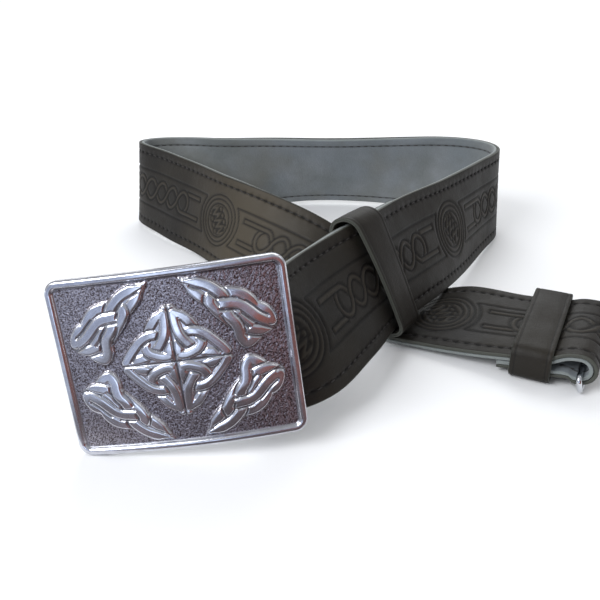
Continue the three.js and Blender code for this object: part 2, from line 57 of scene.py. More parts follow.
def makeCamera():
    pitch, roll, yaw = (math.radians(camera[key]) for key in ("pitch", "roll", "yaw"))
    turn = Matrix.Rotation(-yaw, 3, "Z")
    right = turn @ Vector((1, 0, 0))
    ahead = turn @ Vector((0, math.cos(pitch), -math.sin(pitch)))
    up = right.cross(ahead)
    rolledRight = right * math.cos(roll) + up * math.sin(roll)
    rolledUp = up * math.cos(roll) - right * math.sin(roll)
    data = bpy.data.cameras.new("photoCamera")
    data.lens = camera["focalLength"]
    data.sensor_width = camera["sensor"]
    data.clip_start = 0.01
    eye = bpy.data.objects.new("photoCamera", data)
    axes = Matrix((rolledRight, rolledUp, -ahead)).transposed()
    eye.matrix_world = Matrix.Translation(Vector(camera["place"]) * millimetre) @ axes.to_4x4()
    bpy.context.collection.objects.link(eye)
    bpy.context.scene.camera = eye


makeCamera()
print("camera stands")

# Nodes: sums on sockets are written as plain sums


class Wire:
    def __init__(self, bench, socket):
        self.bench = bench
        self.socket = socket

    def maths(self, operation, *values):
        return self.bench.add("ShaderNodeMath", {"operation": operation}, dict(enumerate(values)))

    def __add__(self, other):
        return self.maths("ADD", self, other)

    def __mul__(self, other):
        return self.maths("MULTIPLY", self, other)

    def __sub__(self, other):
        return self.maths("SUBTRACT", self, other)

    __radd__ = __add__


class Bench:
    def __init__(self, tree):
        self.tree = tree

    def add(self, kind, settings=None, values=None, output=0):
        node = self.tree.nodes.new(kind)
        for name, value in (settings or {}).items():
            if name == "stops":
                self.setStops(node.color_ramp, value)
            else:
                setattr(node, name, value)
        for key, value in (values or {}).items():
            self.feed(node.inputs[key], value)
        return Wire(self, node.outputs[output])

    def feed(self, socket, value):
        if isinstance(value, Wire):
            self.tree.links.new(value.socket, socket)
        else:
            socket.default_value = value

    def setStops(self, ramp, stops):
        for place, level in stops[2:]:
            ramp.elements.new(place)
        for element, (place, level) in zip(ramp.elements, sorted(stops)):
            element.position = place
            element.color = (level, level, level, 1)

    def place(self):
        return self.add("ShaderNodeTexCoord", output="Object")

    def mark(self, name):
        return self.add("ShaderNodeAttribute", {"attribute_name": name}, output="Fac")

    def noise(self, scale, detail=3, rough=0.55):
        values = {"Vector": self.place(), "Scale": scale, "Detail": detail, "Roughness": rough}
        return self.add("ShaderNodeTexNoise", {}, values)

    def ramp(self, value, *stops):
        return self.add("ShaderNodeValToRGB", {"stops": stops}, {"Fac": value})

    def blend(self, share, first, second):
        node = self.tree.nodes.new("ShaderNodeMix")
        node.data_type = "RGBA"
        self.feed(node.inputs[0], share)
        self.feed(node.inputs[6], first)
        self.feed(node.inputs[7], second)
        return Wire(self, node.outputs[2])

    def bump(self, height, depth, strength=1.0):
        values = {"Height": height, "Distance": depth, "Strength": strength}
        return self.add("ShaderNodeBump", {}, values)


def linear(red, green, blue):
    # An 8-bit screen colour as the linear colour that shaders take
    return tuple((v / 255 / 12.92) if v < 11 else ((v / 255 + 0.055) / 1.055) ** 2.4
                 for v in (red, green, blue)) + (1.0,)


def newMaterial(name, **settings):
    material = bpy.data.materials.new(name)
    material.use_nodes = True
    bench = Bench(material.node_tree)
    shader = material.node_tree.nodes["Principled BSDF"]
    for socket, value in settings.items():
        shader.inputs[socket.replace("_", " ")].default_value = value

    def dress(**wires):
        for socket, wire in wires.items():
            bench.feed(shader.inputs[socket.replace("_", " ")], wire)

    return material, bench, dress


leatherLook = {"dark": linear(20, 17, 13), "olive": linear(41, 36, 27), "cool": linear(22, 22, 25),
               "groove": linear(6, 5, 5), "edge": linear(74, 76, 70), "hole": linear(1, 1, 1),
               "worn": linear(64, 58, 48), "faded": linear(84, 76, 62)}
suedeLook = {"base": linear(104, 107, 103), "light": linear(138, 142, 144), "cool": linear(116, 127, 138),
             "stain": linear(104, 98, 78), "fibre": linear(70, 68, 60), "seam": linear(52, 52, 52),
             "edge": linear(120, 126, 124)}
pewterLook = {"bright": linear(212, 214, 222), "dull": linear(186, 186, 192), "pit": linear(82, 72, 70),
              "grain": linear(180, 176, 184), "recess": linear(30, 26, 26)}
wireLook = {"bright": linear(214, 217, 222), "dull": linear(196, 198, 202)}
threadLook = {"dark": linear(24, 22, 22), "light": linear(52, 48, 46)}
# How many times a metre each texture repeats, roughly
density = {"cloud": 9, "suedeCloud": 11, "broad": 14, "stain": 17, "mottle": 28, "rub": 70, "polish": 160,
           "nap": 260, "crease": 420, "haze": 500, "fibre": 900, "pore": 1500.0, "twist": 1600, "grain": 1900}


def smoothLeather(name, lift=0.0):
    look = leatherLook
    material, bench, dress = newMaterial(name, Specular_IOR_Level=0.25)
    broad = bench.ramp(bench.noise(density["broad"], 2), (0.38, 0), (0.66, 1))
    tint = bench.ramp(bench.noise(density["cloud"], 2), (0.42, 0), (0.6, 1))
    rubbed = bench.ramp(bench.noise(density["rub"], 4), (0.4, 0), (0.75, 1))
    base = bench.blend(broad * 0.75 + lift, look["dark"], look["olive"])
    base = bench.blend(tint * 0.35, base, look["cool"])
    base = bench.blend(rubbed * 0.18, base, look["olive"])
    # painted light: the stretch of the loop that faces the key light is lightened to a pale olive brown
    base = bench.blend(bench.mark("faded") * 0.55, base, look["faded"])
    # the insides of the pressed strands are lightened: partly rubbed wear, partly a painted highlight
    base = bench.blend(bench.mark("ridge") * 0.4, base, look["worn"])
    # the pressed lines, seam grooves and creases are darkened nearly to black: partly the darker pressed
    # leather, partly painted shade in the grooves
    pressed = bench.mark("press")
    base = bench.blend(pressed * 0.92, base, look["groove"])
    # painted shade: the stitch holes are made near black
    base = bench.blend(bench.mark("hole"), base, look["hole"])
    # the cut edges are lightened: partly the edges' own lighter tone, partly a painted highlight along them
    base = bench.blend(bench.mark("edge") * 0.85, base, look["edge"])
    grain = bench.add("ShaderNodeTexVoronoi", {"feature": "SMOOTH_F1"},
                      {"Vector": bench.place(), "Scale": density["pore"], "Smoothness": 0.6})
    creases = bench.noise(density["crease"], 4, 0.6)
    surface = bench.bump(grain * 0.6 + creases, 0.00022, 0.55)
    rough = 0.46 + rubbed * 0.12 + creases * 0.1 + pressed * 0.1
    dress(Base_Color=base, Roughness=rough, Normal=surface)
    return material


def suedeLeather():
    material, bench, dress = newMaterial("suedeLeather", Sheen_Weight=0.25, Sheen_Roughness=0.5)
    look = suedeLook
    mottle = bench.ramp(bench.noise(density["mottle"], 5, 0.6), (0.35, 0), (0.68, 1))
    cloud = bench.ramp(bench.noise(density["suedeCloud"], 2), (0.4, 0), (0.62, 1))
    stained = bench.ramp(bench.noise(density["stain"], 3), (0.5, 0), (0.68, 1))
    fibre = bench.noise(density["fibre"], 3, 0.7)
    base = bench.blend(mottle, look["base"], look["light"])
    base = bench.blend(cloud * 0.5, base, look["cool"])
    base = bench.blend(stained * 0.4, base, look["stain"])
    base = bench.blend(fibre * 0.3, base, look["fibre"])
    base = bench.blend(bench.mark("press") * 0.75, base, look["seam"])
    # the lining's cut edges are lightened: partly their own lighter tone, partly a painted highlight
    base = bench.blend(bench.mark("edge") * 0.8, base, look["edge"])
    nap = bench.bump(fibre + bench.noise(density["nap"], 4, 0.65) * 0.8, 0.00035, 0.7)
    dress(Base_Color=base, Roughness=0.86 + fibre * 0.12, Normal=nap)
    return material


def pewterMetal():
    material, bench, dress = newMaterial("antiquePewter", Metallic=1.0)
    look = pewterLook
    recess, ground = bench.mark("recess"), bench.mark("ground")
    worn = bench.ramp(bench.noise(density["polish"], 4, 0.6), (0.35, 0), (0.7, 1))
    grains = bench.noise(density["grain"], 2, 0.5)
    pits = bench.ramp(grains, (0.38, 0), (0.6, 1))
    base = bench.blend(worn, look["bright"], look["dull"])
    base = bench.blend(ground, base, bench.blend(pits, look["pit"], look["grain"]))
    base = bench.blend(recess * 0.9, base, look["recess"])
    fine = bench.bump(grains * ground, 0.0002, 0.7)
    rough = 0.17 + worn * 0.08 + recess * 0.25 + ground * 0.12
    dress(Base_Color=base, Roughness=rough, Normal=fine)
    return material


def brightWire():
    material, bench, dress = newMaterial("brightWire", Metallic=1.0)
    haze = bench.noise(density["haze"], 3)
    base = bench.blend(haze, wireLook["bright"], wireLook["dull"])
    dress(Base_Color=base, Roughness=0.08 + haze * 0.1, Normal=bench.bump(haze, 0.00003, 0.4))
    return material


def sewnThread():
    material, bench, dress = newMaterial("darkThread")
    twist = bench.noise(density["twist"], 2)
    base = bench.blend(twist, threadLook["dark"], threadLook["light"])
    dress(Base_Color=base, Roughness=0.6 + twist * 0.2, Normal=bench.bump(twist, 0.0001, 0.6))
    return material


facingLeather = smoothLeather("smoothLeather")
keeperLeather = smoothLeather("keeperLeather", 0.08)
liningSuede = suedeLeather()
pewter = pewterMetal()
wireMetal = brightWire()
thread = sewnThread()
print("materials mixed")

# The strap's lie: share of the run, heading and lean in degrees, lift in strap thicknesses
strap = {"run": 886, "width": 57, "thickness": 4, "gap": 0.3, "barTail": 126, "ringTail": 37,
         "barFold": 4.4, "ringFold": 5.9, "closedApart": 4.3, "traceSteps": 1500}
lie = np.array([
    (0.0, 22, 15, 3.15), (0.028, 59, 30.5, 3.8), (0.062, 58.5, 32.5, 3.45), (0.102, 54, 21.5, 2.65),
    (0.147, 53, 26, 2.5), (0.198, 55.5, 18.5, 1.3), (0.243, 56, 11, 0.7), (0.273, 56.5, 7.5, 0.5),
    (0.301, 90, 1.3, 0.35), (0.333, 142, 0, 0.25), (0.389, 164, 15, 0.45), (0.463, 174.5, 21, 0.6),
    (0.53, 184, 6, 0), (0.576, 175.5, -6.5, 0), (0.6, 210.5, -4, 0.2), (0.626, 292.5, 10, 0.7),
    (0.677, 311.5, 19.5, 0.5), (0.734, 309, 17.5, 0), (0.779, 317, 33.5, 0), (0.813, 323, 48, 0),
    (0.847, 327.5, 67.5, 0), (0.886, 328, 88.5, 0), (0.931, 329, 82.5, 0.65), (0.961, 331, 86, 1.6),
    (0.985, 331.5, 88, 2.55), (0.994, 331, 89.5, 3.5), (1.0, 331, 90, 3.7),
])
barTailLie = np.array([(0, 1), (0.1, 0.55), (0.22, 0.04), (0.4, 0.03), (1, 0.03)])
ringTailLie = np.array([(0, 1), (0.12, 0.93), (0.32, 0.44), (0.58, 0.15), (0.8, 0), (1, 0)])


def readTable(rows, column, at):
    # A smooth curve through one column, level at both ends
    at = np.asarray(at, float)
    place, value = rows[:, 0], rows[:, column]
    span = np.diff(place)
    steep = np.diff(value) / span
    slope = np.zeros(len(rows))
    slope[1:-1] = (steep[:-1] * span[1:] + steep[1:] * span[:-1]) / (span[1:] + span[:-1])
    k = np.clip(np.searchsorted(place, at, side="left") - 1, 0, len(rows) - 2)
    t = (at - place[k]) / span[k]
    ease = t * t * (3 - 2 * t)
    bend = slope[k] * t * (1 - t) ** 2 - slope[k + 1] * t * t * (1 - t)
    return value[k] * (1 - ease) + value[k + 1] * ease + span[k] * bend


def middleHeight(along):
    lean = np.radians(readTable(lie, 2, along))
    lift = np.maximum(0, readTable(lie, 3, along)) * strap["thickness"]
    return lift + (strap["width"] * abs(np.cos(lean)) + strap["thickness"] * abs(np.sin(lean))) / 2


def traceRun():
    steps = strap["traceSteps"]
    height = middleHeight(np.arange(steps + 1) / steps)
    rise = np.diff(height)
    level = np.sqrt((strap["run"] / steps) ** 2 - rise ** 2)
    heading = np.radians(readTable(lie, 1, (np.arange(steps) + 0.5) / steps))
    x = np.concatenate([[0], np.cumsum(np.cos(heading) * level)])
    y = np.concatenate([[0], np.cumsum(np.sin(heading) * level)])
    return np.stack([x, y, height], -1)


middleLine = traceRun()


def unit(v):
    return v / np.linalg.norm(v, axis=-1, keepdims=True)


def runFrame(along):
    # Middle, forward, across and outward at shares of the run
    along = np.atleast_1d(np.asarray(along, float))
    steps = strap["traceSteps"]
    at = along * steps
    i = np.clip(np.floor(at).astype(int), 0, steps - 1)
    middle = middleLine[i] + (middleLine[i + 1] - middleLine[i]) * (at - i)[:, None]
    heading, lean = np.radians(readTable(lie, 1, along)), np.radians(readTable(lie, 2, along))
    before, after = np.maximum(0, i - 1), np.minimum(steps, i + 2)
    rise = (middleLine[after, 2] - middleLine[before, 2]) / ((after - before) * strap["run"] / steps)
    level = np.sqrt(1 - rise ** 2)
    forward = np.stack([np.cos(heading) * level, np.sin(heading) * level, rise], -1)
    inside = np.stack([-np.sin(heading), np.cos(heading), np.zeros_like(heading)], -1)
    across = inside * np.sin(lean)[:, None] + np.array([0, 0, 1.0]) * np.cos(lean)[:, None]
    across = unit(across - forward * np.sum(across * forward, -1)[:, None])
    return [middle, forward, across, np.cross(forward, across)]


def foldFrame(turn, end, direction, radius):
    # Half circle of a fold, round an axis behind the end of the run
    middle, forward, across, outward = end
    forward = forward * direction
    sine, cosine = np.sin(turn)[:, None], np.cos(turn)[:, None]
    out = outward * cosine + forward * sine
    onward = (forward * cosine - outward * sine) * direction
    return [middle - outward * radius + out * radius, onward, np.repeat(across, len(turn), 0), out]


def tailFrame(back, length, rows, radius, end, direction):
    share = np.maximum(0, readTable(rows, 1, back / length))
    apart = strap["closedApart"] + (2 * radius - strap["closedApart"]) * share
    middle, forward, across, outward = runFrame(end + direction * back / strap["run"])
    return [middle - outward * apart[:, None], -forward, across, -outward]


def strapFrame(places):
    # Frames anywhere on the strap: 0 is the bar, and the folds and tails lie past both ends
    places = np.asarray(places, float)
    barArc, ringArc = math.pi * strap["barFold"], math.pi * strap["ringFold"]
    result = [np.zeros((len(places), 3)) for unused in range(4)]
    run = strap["run"]
    parts = [
        ((places >= 0) & (places <= run), lambda p: runFrame(p / run)),
        ((places < 0) & (places >= -barArc),
         lambda p: foldFrame(-p / strap["barFold"], runFrame(0), -1, strap["barFold"])),
        (places < -barArc,
         lambda p: tailFrame(-barArc - p, strap["barTail"], barTailLie, strap["barFold"], 0, 1)),
        ((places > run) & (places <= run + ringArc),
         lambda p: foldFrame((p - run) / strap["ringFold"], runFrame(1), 1, strap["ringFold"])),
        (places > run + ringArc,
         lambda p: tailFrame(p - run - ringArc, strap["ringTail"], ringTailLie, strap["ringFold"], 1, -1)),
    ]
    for chosen, make in parts:
        if chosen.any():
            for whole, piece in zip(result, make(places[chosen])):
                whole[chosen] = piece
    return result


def sweptMesh(name, rings, joined=False, marks=None, material=None):
    # Closed skin over rings of points, either capped at both ends or joined end to end
    count, sides = rings.shape[:2]
    spans = count if joined else count - 1
    here = np.arange(spans)[:, None] * sides
    ahead = (np.arange(spans)[:, None] + 1) % count * sides
    k = np.arange(sides)[None, :]
    following = (k + 1) % sides
    faces = np.stack([here + k, ahead + k, ahead + following, here + following], -1).reshape(-1, 4)
    points = rings.reshape(-1, 3)
    first, second, third, fourth = (points[faces[:, n]] for n in range(4))
    volume = np.sum(np.cross(second - first, fourth - first) * first)
    volume += np.sum(np.cross(fourth - third, second - third) * third)
    faces = faces.tolist()
    if not joined:
        faces += [list(range(sides)), list(range(count * sides - 1, (count - 1) * sides - 1, -1))]
    if volume < 0:
        faces = [face[::-1] for face in faces]
    mesh = bpy.data.meshes.new(name)
    mesh.from_pydata(((points + placeOnFloor) * millimetre).tolist(), [], faces)
    mesh.polygons.foreach_set("use_smooth", [len(face) == 4 for face in faces])
    for mark, values in (marks or {}).items():
        layer = mesh.attributes.new(mark, "FLOAT", "POINT")
        layer.data.foreach_set("value", np.asarray(values, np.float32).ravel())
    mesh.update()
    piece = bpy.data.objects.new(name, mesh)
    bpy.context.collection.objects.link(piece)
    if material:
        mesh.materials.append(material)
    return piece


def bell(distance, spread):
    return np.exp(-(distance / spread) ** 2)


def nearest(x, y, curve):
    # Distance to a curve of (x, y, level) points, and the level where it is nearest
    distance, level = np.full(x.shape, 1e3), np.zeros(x.shape)
    for px, py, pl in curve:
        d = (x - px) ** 2 + (y - py) ** 2
        closer = d < distance
        distance = np.where(closer, d, distance)
        level = np.where(closer, pl, level)
    return np.sqrt(distance), level


# The pattern pressed into the strap's face: medallions, and panels of a two-strand chain between
pressed = {"pitch": 160.8, "first": 10.2, "rings": (16.3, 13.6, 10.6), "panelHalf": 12.3, "panelArc": 19.4,
           "barStart": 22.8, "chainStart": 36.3, "loops": 7, "loopPitch": 12.6, "loopHalf": 6.8,
           "strand": 3.0,
           "fullness": 0.7, "sampleStep": 0.3, "leadSamples": 45, "endTurn": (-88, 58), "endLevel": -0.99,
           "heart": 9.4, "heartHalf": 5.6, "heartPeriod": 13.0, "heartStrand": 2.7, "heartSlant": -52,
           "line": 0.55, "depth": 0.7, "raised": 0.03}


def strandLines(x, y, strands, width, line):
    # Both edges of each strand, hidden where another strand crosses over it
    lines, inner = np.zeros(x.shape), np.zeros(x.shape)
    for i, (distance, level) in enumerate(strands):
        inner = np.maximum(inner, np.clip((width / 2 - distance) / 0.9, 0, 1))
        edge = bell(distance - width / 2, line)
        for k, (other, otherLevel) in enumerate(strands):
            if k != i:
                edge = np.where((other < width / 2 - 0.1) & (otherLevel > level), 0, edge)
        lines = np.maximum(lines, edge)
    return lines, inner * (1 - lines)


def roundedWave(phase):
    # A wave with fuller loops than a sine
    wave = math.sin(phase)
    return math.copysign(abs(wave) ** pressed["fullness"], wave)


def chainLines(x, y):
    p = pressed
    half, start, step = p["loopHalf"], p["chainStart"], p["loopPitch"]
    end = start + p["loops"] * step
    along = np.arange(start + step / 2, end - step / 2 + 0.1, p["sampleStep"])
    phase = math.pi * (along - start) / step
    turn = np.radians(np.arange(*p["endTurn"], 5.0))
    loopStart, loopReach = start + step / 2, 0.98 * step / 2
    endCurve = [(loopStart - loopReach * math.cos(t), half * math.sin(t), p["endLevel"]) for t in turn]
    lead = [(start + step / 2 - n * p["sampleStep"], half, 1.0) for n in range(1, p["leadSamples"])]
    top = lead + [(a, half * roundedWave(f), math.cos(f)) for a, f in zip(along, phase)]
    top += [(p["pitch"] - a, -b, level) for a, b, level in endCurve]
    low = [(p["pitch"] - a, -b, level) for a, b, level in top]
    strands = []
    for curve, sign in ((top, 1), (low, -1)):
        distance, level = nearest(x, y, curve)
        # each strand starts as a straight bar with a square end
        u = x if sign > 0 else p["pitch"] - x
        bar = np.maximum(abs(y - sign * half), p["strand"] / 2 - (u - p["barStart"]))
        strands.append((np.where(u < start - 3, bar, distance), np.where(u < start - 3, 1.0, level)))
    for sign in (1, -1):
        u = x if sign > 0 else p["pitch"] - x
        bar = np.maximum(abs(y + sign * half), p["strand"] / 2 - (u - p["barStart"]))
        strands.append((np.where(u < start + 2, bar, 1e3), np.full(x.shape, -2.0)))
    return strandLines(x, y, strands, p["strand"], p["line"])


def heartLines(x, y):
    # Three-strand plait inside a medallion, on the slant
    p = pressed
    slant = math.radians(p["heartSlant"])
    u = x * math.cos(slant) + y * math.sin(slant)
    v = y * math.cos(slant) - x * math.sin(slant)
    strands = []
    for k in range(3):
        along = np.arange(-p["heart"] - 2, p["heart"] + 2, 0.35)
        phase = 2 * math.pi * (along / p["heartPeriod"] + k / 3)
        curve = list(zip(along, p["heartHalf"] * np.sin(phase), np.cos(2 * phase)))
        strands.append(nearest(u, v, curve))
    lines, inner = strandLines(u, v, strands, p["heartStrand"], p["line"])
    within = np.hypot(x, y) < p["heart"]
    return lines * within, inner * within


def pressedLines(along, y):
    p = pressed
    u = (along - p["first"]) % p["pitch"]
    side = np.where(u < p["pitch"] / 2, u, u - p["pitch"])
    radius = np.hypot(side, y)
    lines, inner = np.zeros(u.shape), np.zeros(u.shape)
    for ring in p["rings"]:
        lines = np.maximum(lines, bell(radius - ring, p["line"]))
        inner = np.maximum(inner, 0.8 * bell(radius - ring + 1.4, 0.7))
    outside = radius > p["panelArc"]
    lines = np.where(outside, np.maximum(lines, bell(abs(y) - p["panelHalf"], p["line"])), lines)
    within = abs(y) < p["panelHalf"] + 0.2
    lines = np.where(within, np.maximum(lines, bell(radius - p["panelArc"], p["line"])), lines)
    near = radius < p["heart"] + 0.5
    heart, heartInner = heartLines(side[near], y[near])
    lines[near] = np.maximum(lines[near], heart)
    inner[near] = np.maximum(inner[near], heartInner)
    chain = (radius > p["panelArc"] + 1) & (abs(y) < p["panelHalf"] - 1)
    links, linksInner = chainLines(u[chain], y[chain])
    lines[chain] = np.maximum(lines[chain], links)
    inner[chain] = np.maximum(inner[chain], linksInner)
    return lines, inner


# The outer layer, smooth side out
# The last four entries bound the stretch of the run that is lightened as painted light
facing = {"rowStep": 0.9, "columnStep": 0.72, "bandHalf": 16.92, "stitchFromEdge": 5.5, "stitchPitch": 5.3,
          "seamDepth": 0.32, "seamHalf": 0.6, "holeDepth": 0.75, "holeRadius": 0.85, "wear": 0.05,
          "wallAt": 28.2, "paintedLitFrom": 0.69, "paintedLitRampUp": 0.07, "paintedLitTo": 0.83, "paintedLitRampDown": 0.05}


def stitchPlaces():
    low = -strap["barTail"] - math.pi * strap["barFold"] + 4
    high = strap["run"] + math.pi * strap["ringFold"] + strap["ringTail"] - 4
    return np.arange(low, high, facing["stitchPitch"])


def rowPlaces(step):
    low = -strap["barTail"] - math.pi * strap["barFold"]
    high = strap["run"] + math.pi * strap["ringFold"] + strap["ringTail"]
    return np.linspace(low, high, int((high - low) / step))


def makeFacing():
    half, outer, inner = strap["width"] / 2, strap["thickness"] / 2, strap["gap"] / 2
    seam = half - facing["stitchFromEdge"]
    band = np.arange(-facing["bandHalf"], facing["bandHalf"] + 0.01, facing["columnStep"])
    margin = np.array([18.9, 20.9, 21.9, 22.45, seam, 23.55, 24.1, 26.2, 27.4])
    rounding = np.array([(27.9, 1.95), (28.3, 1.72), (half, 1.3), (half, 0.7), (half, 0.3)])
    face = np.concatenate([-margin[::-1], band, margin])
    section = [(-a, b) for a, b in rounding[::-1]] + [(a, outer) for a in face]
    section += [tuple(r) for r in rounding]
    section += [(facing["wallAt"], inner), (14, inner), (-14, inner), (-facing["wallAt"], inner)]
    section = np.array(section)
    rows = rowPlaces(facing["rowStep"])
    middle, forward, across, outward = strapFrame(rows)
    along, y = np.meshgrid(rows, section[:, 0], indexing="ij")
    z = np.repeat(section[None, :, 1], len(rows), 0)
    onFace = z >= outer
    press = np.zeros(z.shape)
    inBand = onFace & (abs(y) < facing["bandHalf"] + 0.1)
    # ridge marks the insides of the pressed strands, lightened partly as rubbed wear and partly as a painted
    # highlight
    ridge = np.zeros(z.shape)
    press[inBand], ridge[inBand] = pressedLines(along[inBand], y[inBand])
    groove = np.where(onFace, bell(abs(y) - seam, facing["seamHalf"]), 0)
    pitch = facing["stitchPitch"]
    offset = (along - stitchPlaces()[0] + pitch / 2) % pitch - pitch / 2
    # the hole mark sinks the stitch holes and paints them near black, as painted shade
    hole = np.where(onFace, bell(np.hypot(offset, abs(y) - seam), facing["holeRadius"]), 0)
    wear = facing["wear"] * (np.sin(along / 17.0 + y / 9.0) - 1) * onFace
    z = z - press * pressed["depth"] + ridge * pressed["raised"]
    z = z - groove * facing["seamDepth"] - hole * facing["holeDepth"] + wear
    # cut-edge mark: partly the edge's own lighter tone, partly a painted highlight
    edge = np.repeat(((abs(section[:, 0]) > half - 0.4) & (section[:, 1] < 1.9))[None, :], len(rows), 0)
    rings = middle[:, None] + across[:, None] * y[..., None] + outward[:, None] * z[..., None]
    share = along / strap["run"]
    # painted light: one stretch of the run is lightened, ramping up after a first share and down before a
    # last share
    faded = np.clip((share - facing["paintedLitFrom"]) / facing["paintedLitRampUp"], 0, 1)
    faded = faded * np.clip((facing["paintedLitTo"] - share) / facing["paintedLitRampDown"], 0, 1)
    # press darkens the pressed lines and, less, the seam groove: partly darker pressed leather, partly
    # painted shade
    marks = {"press": np.maximum(press, groove * 0.75), "hole": hole, "edge": edge.astype(float),
             "ridge": ridge, "faded": faded * onFace}
    return sweptMesh("strapFacing", rings, marks=marks, material=facingLeather)


facingPiece = makeFacing()
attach(facingPiece, "root")
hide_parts("strap_facing")
print("facing pressed")

# The inner layer, suede side out
lining = {"rowStep": 2.2, "sag": 0.08}


def makeLining():
    half, outer, inner = strap["width"] / 2, strap["thickness"] / 2, strap["gap"] / 2
    seam = half - facing["stitchFromEdge"]
    flat = np.array([0, 2.6, 5.2, 7.8, 10.4, 13, 15.6, 18.2, 20.6, 22, 22.6, seam, 23.4, 24, 26, 27.3])
    face = np.concatenate([-flat[:0:-1], flat])
    rounding = [(27.9, 1.93), (28.3, 1.7), (half, 1.3), (half, 0.7), (half, 0.3)]
    section = [(-a, -b) for a, b in rounding[::-1]] + [(a, -outer) for a in face]
    section += [(a, -b) for a, b in rounding]
    section += [(facing["wallAt"], -inner), (10, -inner), (-10, -inner), (-facing["wallAt"], -inner)]
    section = np.array(section)
    rows = rowPlaces(lining["rowStep"])
    middle, forward, across, outward = strapFrame(rows)
    along, y = np.meshgrid(rows, section[:, 0], indexing="ij")
    z = np.repeat(section[None, :, 1], len(rows), 0)
    onFace = z <= -outer
    groove = np.where(onFace, bell(abs(y) - seam, facing["seamHalf"]), 0)
    waver = lining["sag"] * (0.5 + 0.5 * np.sin(along / 11.0 + np.cos(y / 6.0) * 2)) * onFace
    z = z + groove * facing["seamDepth"] + waver
    # cut-edge mark: partly the edge's own lighter tone, partly a painted highlight
    edge = np.repeat(((abs(section[:, 0]) > half - 0.4) & (section[:, 1] > -1.9))[None, :], len(rows), 0)
    rings = middle[:, None] + across[:, None] * y[..., None] + outward[:, None] * z[..., None]
    marks = {"press": groove, "edge": edge.astype(float)}
    return sweptMesh("strapLining", rings, marks=marks, material=liningSuede)


liningPiece = makeLining()
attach(liningPiece, "root")
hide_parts("strap_lining")
print("lining laid")

# Stitches along both edges of both faces
stitching = {"length": 3.5, "width": 0.8, "height": 0.55, "sunk": 0.3}


def stitchTree():
    tree = bpy.data.node_groups.new("stitchesOnPoints", "GeometryNodeTree")
    tree.interface.new_socket("Geometry", in_out="INPUT", socket_type="NodeSocketGeometry")
    for name in ("Length", "Width", "Height"):
        tree.interface.new_socket(name, in_out="INPUT", socket_type="NodeSocketFloat")
    tree.interface.new_socket("Thread", in_out="INPUT", socket_type="NodeSocketMaterial")
    tree.interface.new_socket("Geometry", in_out="OUTPUT", socket_type="NodeSocketGeometry")
    bench = Bench(tree)
    given = tree.nodes.new("NodeGroupInput")
    sockets = {socket.name: Wire(bench, socket) for socket in given.outputs}
    bead = bench.add("GeometryNodeMeshUVSphere", {}, {"Segments": 6, "Rings": 4, "Radius": 0.5})
    axes = {"X": sockets["Length"], "Y": sockets["Width"], "Z": sockets["Height"]}
    size = bench.add("ShaderNodeCombineXYZ", {}, axes)
    turned = bench.add("GeometryNodeInputNamedAttribute", {"data_type": "FLOAT_VECTOR"}, {"Name": "turn"})
    sewn = bench.add("GeometryNodeInstanceOnPoints", {}, {"Points": sockets["Geometry"], "Instance": bead,
                                                          "Rotation": turned, "Scale": size})
    real = bench.add("GeometryNodeRealizeInstances", {}, {"Geometry": sewn})
    coloured = bench.add("GeometryNodeSetMaterial", {}, {"Geometry": real, "Material": sockets["Thread"]})
    result = tree.nodes.new("NodeGroupOutput")
    tree.links.new(coloured.socket, result.inputs["Geometry"])
    return tree


def makeStitches():
    places = stitchPlaces() + facing["stitchPitch"] / 2
    middle, forward, across, outward = strapFrame(places)
    depth = strap["thickness"] / 2 - stitching["sunk"]
    seam = strap["width"] / 2 - facing["stitchFromEdge"]
    points, turns = [], []
    for side in (-1, 1):
        for face in (-1, 1):
            points.append(middle + across * side * seam + outward * face * depth)
            for n in range(len(places)):
                axes = Matrix((Vector(forward[n]), Vector(across[n]), Vector(-outward[n]))).transposed()
                turns.append(tuple(axes.to_euler()))
    mesh = bpy.data.meshes.new("stitches")
    mesh.from_pydata(((np.concatenate(points) + placeOnFloor) * millimetre).tolist(), [], [])
    layer = mesh.attributes.new("turn", "FLOAT_VECTOR", "POINT")
    layer.data.foreach_set("vector", np.array(turns, np.float32).ravel())
    guide = bpy.data.objects.new("stitchGuide", mesh)
    bpy.context.collection.objects.link(guide)
    modifier = guide.modifiers.new("stitches", "NODES")
    modifier.node_group = stitchTree()
    values = {"Length": stitching["length"] * millimetre, "Width": stitching["width"] * millimetre,
              "Height": stitching["height"] * millimetre, "Thread": thread}
    for item in modifier.node_group.interface.items_tree:
        if item.in_out == "INPUT" and item.name in values:
            modifier[item.identifier] = values[item.name]
    evaluated = guide.evaluated_get(bpy.context.evaluated_depsgraph_get())
    result = bpy.data.meshes.new_from_object(evaluated)
    bpy.data.objects.remove(guide)
    result.polygons.foreach_set("use_smooth", [True] * len(result.polygons))
    piece = bpy.data.objects.new("stitches", result)
    bpy.context.collection.objects.link(piece)
    return piece


stitchPiece = makeStitches()
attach(stitchPiece, "root")
print("stitches sewn:", len(stitchPiece.data.polygons))

# Leather keepers
keepers = {"thickness": 2.2, "width": 19, "fromBar": 89, "skew": 7, "stand": 3.2, "back": 1.2, "head": 2.4,
           "foot": 1.2, "endWidth": 18, "fromCrest": 21.5, "endPlay": 1}


